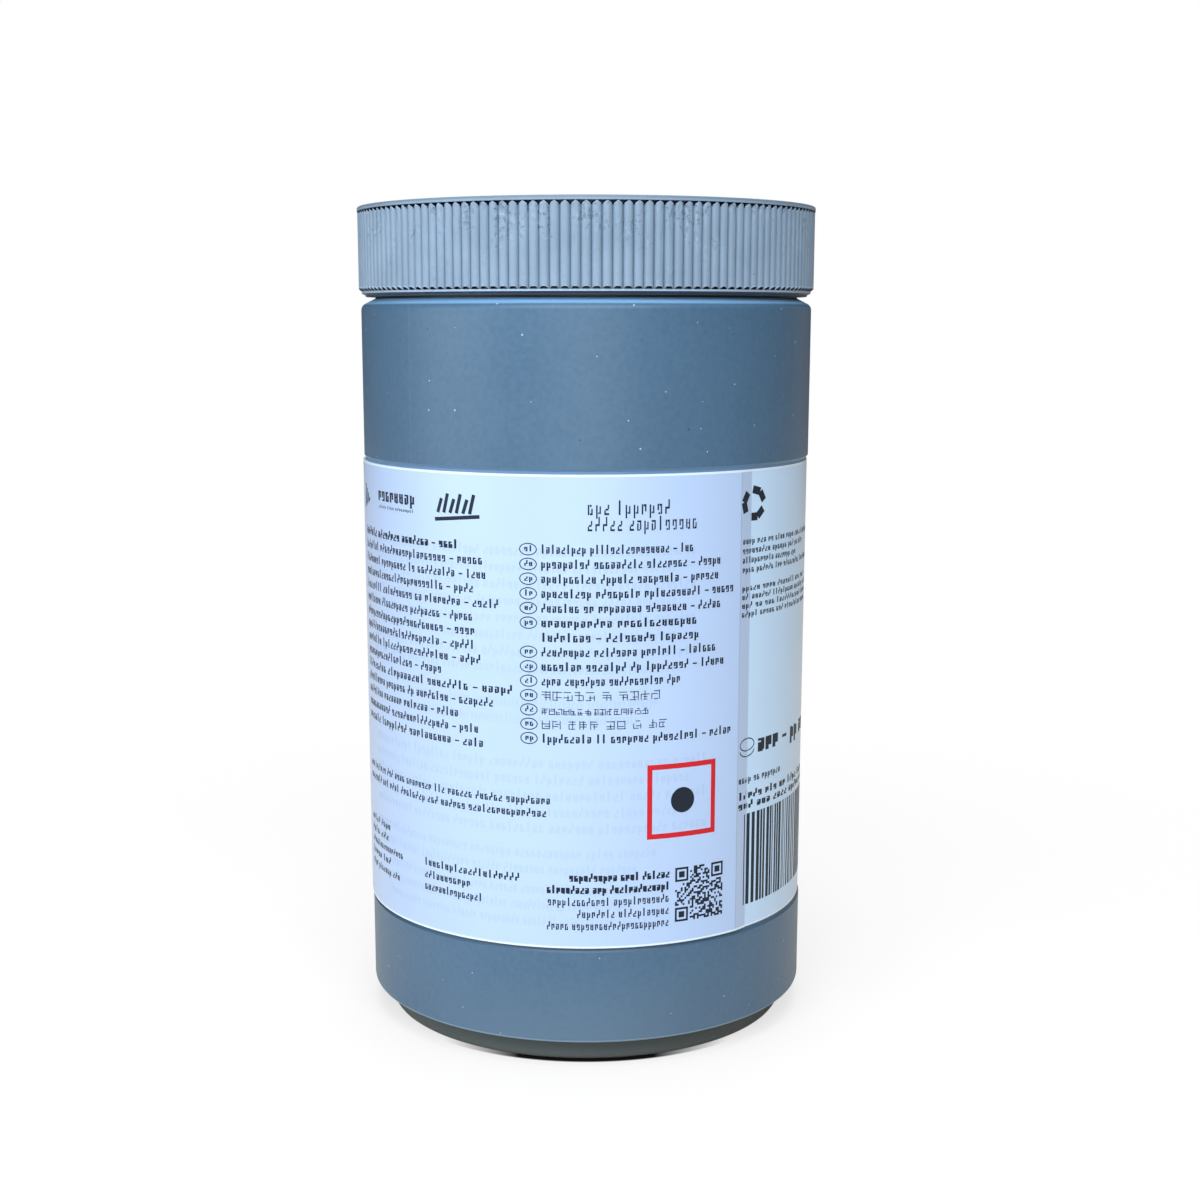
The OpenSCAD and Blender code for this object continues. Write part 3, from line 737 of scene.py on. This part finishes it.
# Base label: varnished paper, glued round the jar in the shallow band, with its
# two ends a little apart at the back.
label_r = recess_r + 0.03 * mm
label_t = 0.12 * mm
booklet_r = label_r + label_t + 0.03 * mm
booklet_t = 0.45 * mm
leaf_t = 0.12 * mm
booklet_left = -142
booklet_right = 40
slope_end = 43.3
leaf_end = 43.8
seam_half = 1.5


def label_strip(name, outer_r, thickness, from_angle, to_angle):
    """A thin strip round the jar: an arc of points, pulled up and made solid inwards."""
    steps = round((to_angle - from_angle) * 2)
    bpy.ops.object.select_all(action="DESELECT")
    bpy.ops.mesh.primitive_grid_add(x_subdivisions=steps, y_subdivisions=24, size=1)
    strip = bpy.context.object
    strip.name = name
    for vertex in strip.data.vertices:
        angle = math.radians(from_angle + (vertex.co.x + 0.5) * (to_angle - from_angle))
        height = label_low + (vertex.co.y + 0.5) * (label_high - label_low)
        vertex.co = (outer_r * math.sin(angle), -outer_r * math.cos(angle), height)
    solid = strip.modifiers.new("thickness", "SOLIDIFY")
    solid.thickness = thickness
    solid.offset = -1
    bpy.ops.object.modifier_apply(modifier=solid.name)
    return strip


base_label = label_strip("base_label_paper", label_r + label_t, label_t, -180 + seam_half, 180 - seam_half)
smooth(base_label)
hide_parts("base_label")
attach(base_label, "jar")

# Booklet: a folded leaflet stuck on the base label from the back of the left
# side to the right of the front. Its front leaf slopes down past the folds.
def booklet_face(angle):
    """Radius of the booklet's printed face at an angle in degrees from the front."""
    share = min(1, max(0, (angle - booklet_right) / (slope_end - booklet_right)))
    return booklet_r + booklet_t + (leaf_t - booklet_t) * share


booklet = label_strip("booklet_paper", booklet_r + booklet_t, booklet_t, booklet_left, leaf_end)
for vertex in booklet.data.vertices:
    angle = math.degrees(math.atan2(vertex.co.x, -vertex.co.y))
    radius = math.hypot(vertex.co.x, vertex.co.y)
    for fold in (booklet_right, slope_end):
        if abs(angle - fold) < 0.25:
            angle = fold
    if radius > booklet_r + booklet_t / 2:
        radius = booklet_face(angle)
    turn = math.radians(angle)
    vertex.co.x = radius * math.sin(turn)
    vertex.co.y = -radius * math.cos(turn)
smooth(booklet, 4)
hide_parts("booklet_label")
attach(booklet, "jar")


# Varnished label paper: bright, faintly blue, glossy and very smooth, with a trace
# of waviness 29 mm wide and a fibre of 0.6 mm, coarser than real so that it shows.
# It has a bare white edge along each cut and a greyer folded strip.
def varnished_paper(name, tone, tone_dark, folded):
    """A material for glossy label paper, with the strip between two angles a little greyer."""
    material, tree, output = empty_material(name)
    place = add_node(tree, "TexCoord").outputs["Object"]
    height = add_node(tree, "SeparateXYZ", [place]).outputs["Z"]
    cloud = add_node(tree, "TexNoise", {"Vector": place, "Scale": 25.0, "Detail": 2.0})
    colour = add_node(tree, "Mix", {0: cloud, 6: linear(tone), 7: linear(tone_dark)}, data_type="RGBA")
    angle = side_angle(tree, place)
    strip_half = (folded[1] - folded[0]) / 2
    from_strip = add_node(tree, "Math", [angle, folded[0] + strip_half], operation="SUBTRACT")
    from_strip = add_node(tree, "Math", [from_strip], operation="ABSOLUTE")
    on_strip = add_node(tree, "MapRange", [from_strip, strip_half - 0.1, strip_half, 0.5, 0.0])
    colour = add_node(tree, "Mix", {0: on_strip, 6: colour, 7: linear("#b9c4d8")}, data_type="RGBA")
    from_fold = add_node(tree, "Math", [angle, folded[0]], operation="SUBTRACT")
    from_fold = add_node(tree, "Math", [from_fold], operation="ABSOLUTE")
    on_fold = add_node(tree, "MapRange", [from_fold, 0.05, 0.2, 0.6, 0.0])
    colour = add_node(tree, "Mix", {0: on_fold, 6: colour, 7: linear("#8fa1bb")}, data_type="RGBA")
    middle_z = (label_low + label_high) / 2
    half_h = (label_high - label_low) / 2
    from_middle = add_node(tree, "Math", [height, middle_z], operation="SUBTRACT")
    from_middle = add_node(tree, "Math", [from_middle], operation="ABSOLUTE")
    at_cut = add_node(tree, "MapRange", [from_middle, half_h - 0.5 * mm, half_h - 0.3 * mm])
    colour = add_node(tree, "Mix", {0: at_cut, 6: colour, 7: linear("#eef5fd")}, data_type="RGBA")
    waves = add_node(tree, "TexNoise", {"Vector": place, "Scale": 35.0, "Detail": 1.0})
    fibre = add_node(tree, "TexNoise", {"Vector": place, "Scale": 1800.0, "Detail": 2.0})
    relief = add_node(tree, "Math", [waves, 12.0, fibre], operation="MULTIPLY_ADD")
    bump = add_node(tree, "Bump", {"Height": relief, "Strength": 0.2, "Distance": 0.00003})
    paper = add_node(tree, "BsdfPrincipled",
                     {"Base Color": colour, "Roughness": 0.3, "IOR": 1.5, "Normal": bump})
    tree.links.new(paper.outputs[0], output.inputs["Surface"])
    return material


fold_strip = (booklet_right, leaf_end)
base_label.data.materials.append(varnished_paper("label_paper", "#d4e9ff", "#cee3fa", fold_strip))
booklet.data.materials.append(varnished_paper("booklet_paper", "#c2d3f1", "#bdceee", fold_strip))

# Print: offset ink on the two labels. Every line of text is stand-in strokes that
# spell nothing, and every sign is a plain shape of like size and colour.
ink_lift = 0.012 * mm
base_print_r = label_r + label_t
booklet_print_r = booklet_r + booklet_t
strokes = [
    [(0.0, 0.0, 0.25, 1.0), (0.25, 0.0, 0.4, 0.2), (0.42, 0.2, 0.23, 0.42), (0.25, 0.8, 0.27, 0.2)],
    [(0.0, 0.38, 0.25, 0.62), (0.25, 0.8, 0.4, 0.2), (0.42, 0.0, 0.23, 0.8), (0.12, 0.0, 0.3, 0.18)],
    [(0.0, 0.0, 0.65, 0.2), (0.0, 0.2, 0.23, 0.26), (0.14, 0.44, 0.42, 0.18), (0.41, 0.6, 0.24, 0.4)],
    [(0.16, 0.0, 0.27, 1.4)],
    [(0.0, 0.0, 0.25, 1.0), (0.25, 0.78, 0.4, 0.22), (0.42, 0.3, 0.23, 0.5)],
    [(0.0, -0.34, 0.25, 1.3), (0.25, 0.1, 0.2, 0.18), (0.42, 0.1, 0.23, 0.75)],
    [(0.0, 0.1, 0.25, 0.9), (0.25, 0.0, 0.4, 0.2), (0.42, 0.2, 0.23, 0.8), (0.25, 0.52, 0.17, 0.16)],
    [(0.0, 0.0, 0.25, 0.5), (0.0, 0.5, 0.65, 0.2), (0.41, 0.7, 0.24, 0.7)],
    [(0.02, 0.0, 0.25, 0.7), (0.02, 0.82, 0.62, 0.18), (0.41, 0.12, 0.24, 0.7), (0.27, 0.0, 0.2, 0.17)],
]


class Sheet:
    """Flat ink shapes, gathered in millimetres along and up a label, then wrapped round it."""

    def __init__(self, seed):
        self.points = []
        self.faces = []
        self.draw = random.Random(seed)

    def shape(self, corners):
        """One flat face, narrow enough to follow the label's curve."""
        start = len(self.points)
        self.points.extend(corners)
        self.faces.append(tuple(range(start, start + len(corners))))

    def bar(self, u, z, width, height):
        """An upright rectangle, in strips where it is wide."""
        pieces = max(1, math.ceil(width / 1.2))
        for i in range(pieces):
            left, right = u + width * i / pieces, u + width * (i + 1) / pieces
            self.shape([(left, z), (right, z), (right, z + height), (left, z + height)])

    def beam(self, u0, z0, u1, z1, thick):
        """A straight stroke of one thickness from point to point."""
        length = math.hypot(u1 - u0, z1 - z0)
        side_u, side_z = (z0 - z1) / length * thick / 2, (u1 - u0) / length * thick / 2
        pieces = max(1, math.ceil(length / 0.8))
        for i in range(pieces):
            ends = [(u0 + (u1 - u0) * k / pieces, z0 + (z1 - z0) * k / pieces) for k in (i, i + 1)]
            (ua, za), (ub, zb) = ends
            self.shape([(ua - side_u, za - side_z), (ub - side_u, zb - side_z),
                        (ub + side_u, zb + side_z), (ua + side_u, za + side_z)])

    def ring(self, u, z, half_w, half_h, thick, sides=28, start=0, sweep=360):
        """An oval outline, or a stretch of one between two angles in degrees."""
        turns = [math.radians(start + sweep * i / sides) for i in range(sides + 1)]
        for a, b in zip(turns, turns[1:]):
            outer = [(u + half_w * math.cos(t), z + half_h * math.sin(t)) for t in (a, b)]
            inner = [(u + (half_w - thick) * math.cos(t), z + (half_h - thick) * math.sin(t)) for t in (b, a)]
            self.shape(outer + inner)

    def disc(self, u, z, half_w, half_h, strips=12):
        """A filled oval, in upright strips."""
        turns = [math.pi * i / strips for i in range(strips + 1)]
        for a, b in zip(turns, turns[1:]):
            (ua, ha), (ub, hb) = [(u - half_w * math.cos(t), half_h * math.sin(t)) for t in (a, b)]
            corners = [(ua, z - ha), (ub, z - hb), (ub, z + hb), (ua, z + ha)]
            self.shape(corners[1:] if a == 0 else corners[:2] + corners[3:] if b == math.pi else corners)

    def line(self, left, right, z, words, x_height=1.25, weight=1.25):
        """A line of stand-in words, given their lengths, that fills the space between two ends."""
        lengths = [int(length) for length in words.split()]
        pitch = (right - left) / (sum(lengths) + 0.6 * (len(lengths) - 1) - 0.3)
        u = left
        for length in lengths:
            if length == 1:
                self.bar(u, z + 0.45 * x_height, pitch * 0.8, 0.22 * x_height)
            for _ in range(length if length > 1 else 0):
                for x, y, w, h in self.draw.choice(strokes):
                    grown = (w - 0.27 + 0.27 * weight) * pitch
                    self.bar(u + x * pitch, z + y * x_height, grown, h * x_height)
                u += pitch
            u += pitch * (1.6 if length == 1 else 0.6)

    def signs(self, left, right, z, words, side):
        """A line of square stand-in signs of thin strokes, in words of given lengths."""
        counts = [int(count) for count in words.split()]
        pitch = (right - left) / (sum(counts) + 0.5 * (len(counts) - 1))
        u, thin = left, 0.17
        for count in counts:
            for _ in range(count):
                for level in self.draw.sample((0.0, 0.28, 0.55, 0.85), 3):
                    start = self.draw.choice((0.0, 0.0, 0.3))
                    length = side * self.draw.uniform(0.55, 1) * (1 - start)
                    self.bar(u + start * side, z + level * side, length, thin)
                for place in self.draw.sample((0.0, 0.42, 0.85), 2):
                    self.bar(u + place * side, z, thin, side * self.draw.choice((0.6, 1.0)))
                u += pitch
            u += pitch * 0.5

    def wrap(self, name, radius, material, face=None):
        """Makes the gathered shapes one thin solid print on a label of even radius, or on its face."""
        mesh = bpy.data.meshes.new(name)
        points = []
        for u, z in self.points:
            turn = u * mm / radius
            r = (face(math.degrees(turn)) if face else radius) + ink_lift
            points.append((r * math.sin(turn), -r * math.cos(turn), z * mm))
        mesh.from_pydata(points, [], self.faces)
        ink = bpy.data.objects.new(name, mesh)
        bpy.context.scene.collection.objects.link(ink)
        bpy.ops.object.select_all(action="DESELECT")
        ink.select_set(True)
        bpy.context.view_layer.objects.active = ink
        solid = ink.modifiers.new("thickness", "SOLIDIFY")
        solid.thickness = ink_lift
        solid.offset = -1
        bpy.ops.object.modifier_apply(modifier=solid.name)
        ink.data.materials.append(material)
        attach(ink, "jar")
        return ink


def ink_material(name, tone):
    """Ink on the label, in one even tone."""
    material, tree, output = empty_material(name)
    ink = add_node(tree, "BsdfPrincipled", {"Base Color": linear(tone), "Roughness": 0.5, "IOR": 1.35})
    tree.links.new(ink.outputs[0], output.inputs["Surface"])
    return material


black_ink = ink_material("black_ink", "#15202e")
red_ink = ink_material("red_ink", "#d8202a")
faint_ink = ink_material("faint_ink", "#bacbe8")

# Booklet text: two columns of lines, the right one with a small oval before each
# line, then a few short blocks towards the foot.
text = Sheet(11)
left_column = [("7 8 7 1 4", -26.7), ("8 19 1 5", -21.0), ("9 9 2 9 1 4", -20.3), ("27 1 4", -23.1),
               ("9 10 2 8 1 5", -17.6), ("9 10 8 1 5", -23.4), ("26 1 4", -22.9), ("26 1 5", -23.0),
               ("8 18 1 4", -21.6), ("19 1 5", -31.2), ("9 10 8 1 5", -14.8), ("10 7 2 8 1 7", -18.9),
               ("9 7 7 1 5", -27.0), ("12 16 1 4", -22.3), ("7 9 10 1 4", -21.2)]
for row, (words, right) in enumerate(left_column):
    text.line(-62.5, right, 105.0 - row * 2.81, words, 1.3, 1.6 if row == 0 else 1.25)
right_column = [("9 16 1 3", 21.5), ("9 9 8 1 5", 27.9), ("10 6 8 1 6", 27.4), ("9 8 11 1 5", 31.3),
                ("7 2 8 8 1 5", 28.0), ("11 13", 22.4), ("8 1 8 7", 22.9), ("9 8 7 1 6", 26.9),
                ("7 7 2 8 1 5", 29.0), ("4 8 11 3", 18.9), ("5 1 4", 15.1), ("15", 12.5),
                ("2 3 2 1 2", 16.7), ("9 2 7 9 1 5", 31.1)]
oval_gap_row = 6
sign_sides = {10: 1.85, 11: 1.25, 12: 1.7}
for row, (words, right) in enumerate(right_column):
    foot = 104.8 - row * 2.87
    if row in sign_sides:
        text.signs(-8.75, right, foot - 0.1, words, sign_sides[row])
    else:
        text.line(-8.75, right, foot, words, 1.3)
    if row != oval_gap_row:
        text.ring(-11.35, foot + 0.82, 1.78, 1.22, 0.2)
        text.line(-12.1, -10.5, foot + 0.4, "2", 0.85)
text.line(-62.5, -7.2, 55.0, "3 7 3 4 8 3 6 6 9", 1.2)
text.line(-62.5, -8.0, 52.4, "8 3 4 8 3 6 16", 1.2)
foot_block = [("5 4", -50), ("4 3", -51), ("17", -44.5), ("5 3", -50), ("4 7 3", -46)]
for row, (words, right) in enumerate(foot_block):
    text.line(-62.5, right, 43.2 - row * 2.5, words, 1.1)
for row, (words, right) in enumerate((("20", -13.6), ("11", -24.6), ("15", -21.8))):
    text.line(-36.7, right, 38.9 - row * 2.6, words, 1.2)
right_block = [("10 4 6", -3.4, 1.7), ("9 3 13", -7.9, 1.7), ("13 12", -7.7, 1.1),
               ("8 11", -1.8, 1.1), ("5 22", -7.9, 1.1)]
for row, (words, left, weight) in enumerate(right_block):
    text.line(left, 16.9, 39.3 - row * 2.52, words, 1.25, weight)
text.wrap("booklet_text", booklet_print_r, black_ink)

# Booklet marks: slanted strokes and bars over a line, and two taller lines beside
# them, all offset ink. Lower down stands a square block of small dark squares.
marks = Sheet(23)
for k in range(4):
    marks.beam(-63.4 + k * 1.2, 110.4 + 0.5 * k, -62.4 + k * 1.2, 115.4 - 0.9 * k, 0.7)
marks.line(-52.6, -38.2, 112.7, "8", 2.0, 1.3)
marks.line(-52.4, -38.4, 111.2, "5 4 9", 0.5, 1.0)
for k in range(6):
    marks.beam(-31.4 + k * 1.55, 111.9, -30.4 + k * 1.55, 114.7 + (k % 2), 0.78)
marks.beam(-32.2, 110.5, -21.4, 111.5, 0.75)
marks.line(0.3, 16.6, 112.3, "3 7", 2.0, 0.8)
marks.line(0.3, 22.4, 109.2, "5 10", 2.0, 0.8)
module_count = 27
module = 11.3 / module_count


def in_eye(column, row):
    """Whether a module lies in one of the block's three corner squares, and if it is dark."""
    for left, low in ((0, 0), (0, module_count - 7), (module_count - 7, module_count - 7)):
        x, y = column - left, row - low
        if -1 <= x <= 7 and -1 <= y <= 7:
            ring = max(abs(x - 3), abs(y - 3))
            return True, ring in (0, 1, 3)
    return False, False


for row in range(module_count):
    for column in range(module_count):
        eye, dark = in_eye(column, row)
        if dark or (not eye and marks.draw.random() < 0.5):
            marks.bar(18.3 + column * module, 29.8 + row * module, module * 1.02, module * 1.02)
marks.wrap("booklet_marks", booklet_print_r, black_ink)

# Red square: a plain frame of red ink with a dark disc in it, printed on the
# booklet's front as its one spot of strong colour.
square_u = 19.8
square_z = 55.1
square_half = 7.6
square_w = 1.05
red_square = Sheet(2)
red_square.bar(square_u - square_half, square_z - square_half, 2 * square_half, square_w)
red_square.bar(square_u - square_half, square_z + square_half - square_w, 2 * square_half, square_w)
for left in (square_u - square_half, square_u + square_half - square_w):
    red_square.bar(left, square_z - square_half + square_w, square_w, 2 * (square_half - square_w))
red_square.wrap("red_square", booklet_print_r, red_ink)
dark_disc = Sheet(3)
dark_disc.disc(square_u, square_z, 2.6, 2.6, 24)
dark_disc.wrap("dark_disc", booklet_print_r, black_ink)

# Show-through: the print of the page below, in faint ink, as it shows through the
# thin paper of the booklet's front leaf.
through = Sheet(41)
for count, top, left, right in ((8, 104.3, -56, 22), (2, 74.5, -38, 14), (5, 62.3, -56, 25),
                                (2, 44.0, -56, 14), (3, 36.5, -50, 12)):
    for row in range(count):
        words = through.draw.choice(("9 7 12 6 8 9 7", "6 11 9 8 12 5 7", "12 8 6 9 7 11 6"))
        through.line(left, right - 4 * (row % 2), top - row * 3.3, words, 1.5, 1.3)
through.wrap("show_through", booklet_print_r - 0.008 * mm, faint_ink)

# Base label's right panel, printed in black: three bent bars in a ring, small text,
# a tablet drawn as two ovals beside bold strokes, and a row of upright bars.
panel = Sheet(17)
for first in (8, 128, 248):
    turns = [math.radians(first + turn) for turn in (0, 44, 88)]
    corners = [(37.0 + 3.25 * math.cos(turn), 113.2 + 2.85 * math.sin(turn)) for turn in turns]
    for (ua, za), (ub, zb) in zip(corners, corners[1:]):
        panel.beam(ua, za, ub, zb, 1.6)
for row, (words, right) in enumerate((("4 3 2 4 4 3 8", 66), ("9 6 3 2 3", 60), ("11 7 3", 55),
                                      ("4 6 3 9 8", 66))):
    panel.line(33.6, right, 105.2 - row * 1.9, words, 0.95, 1.25)
for row, (words, right) in enumerate((("5 4 7 3 3", 63), ("9 9 6 4", 66), ("3 2 3 11 5", 66),
                                      ("5 5 3 9 6", 66))):
    panel.line(33.6, right, 95.8 - row * 1.75, words, 0.9, 1.25)
panel.ring(36.0, 64.2, 2.45, 1.4, 0.24)
panel.ring(36.0, 63.0, 2.45, 1.4, 0.24, start=180, sweep=180)
panel.line(39.6, 66.0, 62.0, "3 1 2 2", 2.8, 1.7)
panel.line(33.4, 48.6, 56.2, "4 2 7", 1.1, 1.25)
panel.line(33.4, 66.5, 52.8, "5 3 2 4 4", 1.2, 1.5)
panel.line(33.4, 70.0, 50.7, "3 3 4 5 4", 1.2, 1.5)
bar_u = 35.4
while bar_u < 71.5:
    bar_w = 0.33 * panel.draw.choice((1, 1, 2, 2, 3))
    panel.bar(bar_u, 30.2, bar_w, 19.4)
    bar_u += bar_w + 0.33 * panel.draw.choice((1, 1, 2, 2, 3))


def panel_face(angle):
    """Radius of the label's face at an angle: the booklet's last leaf, then the base label."""
    return booklet_face(angle) if angle < leaf_end else base_print_r


panel.wrap("panel_print", base_print_r, black_ink, panel_face)
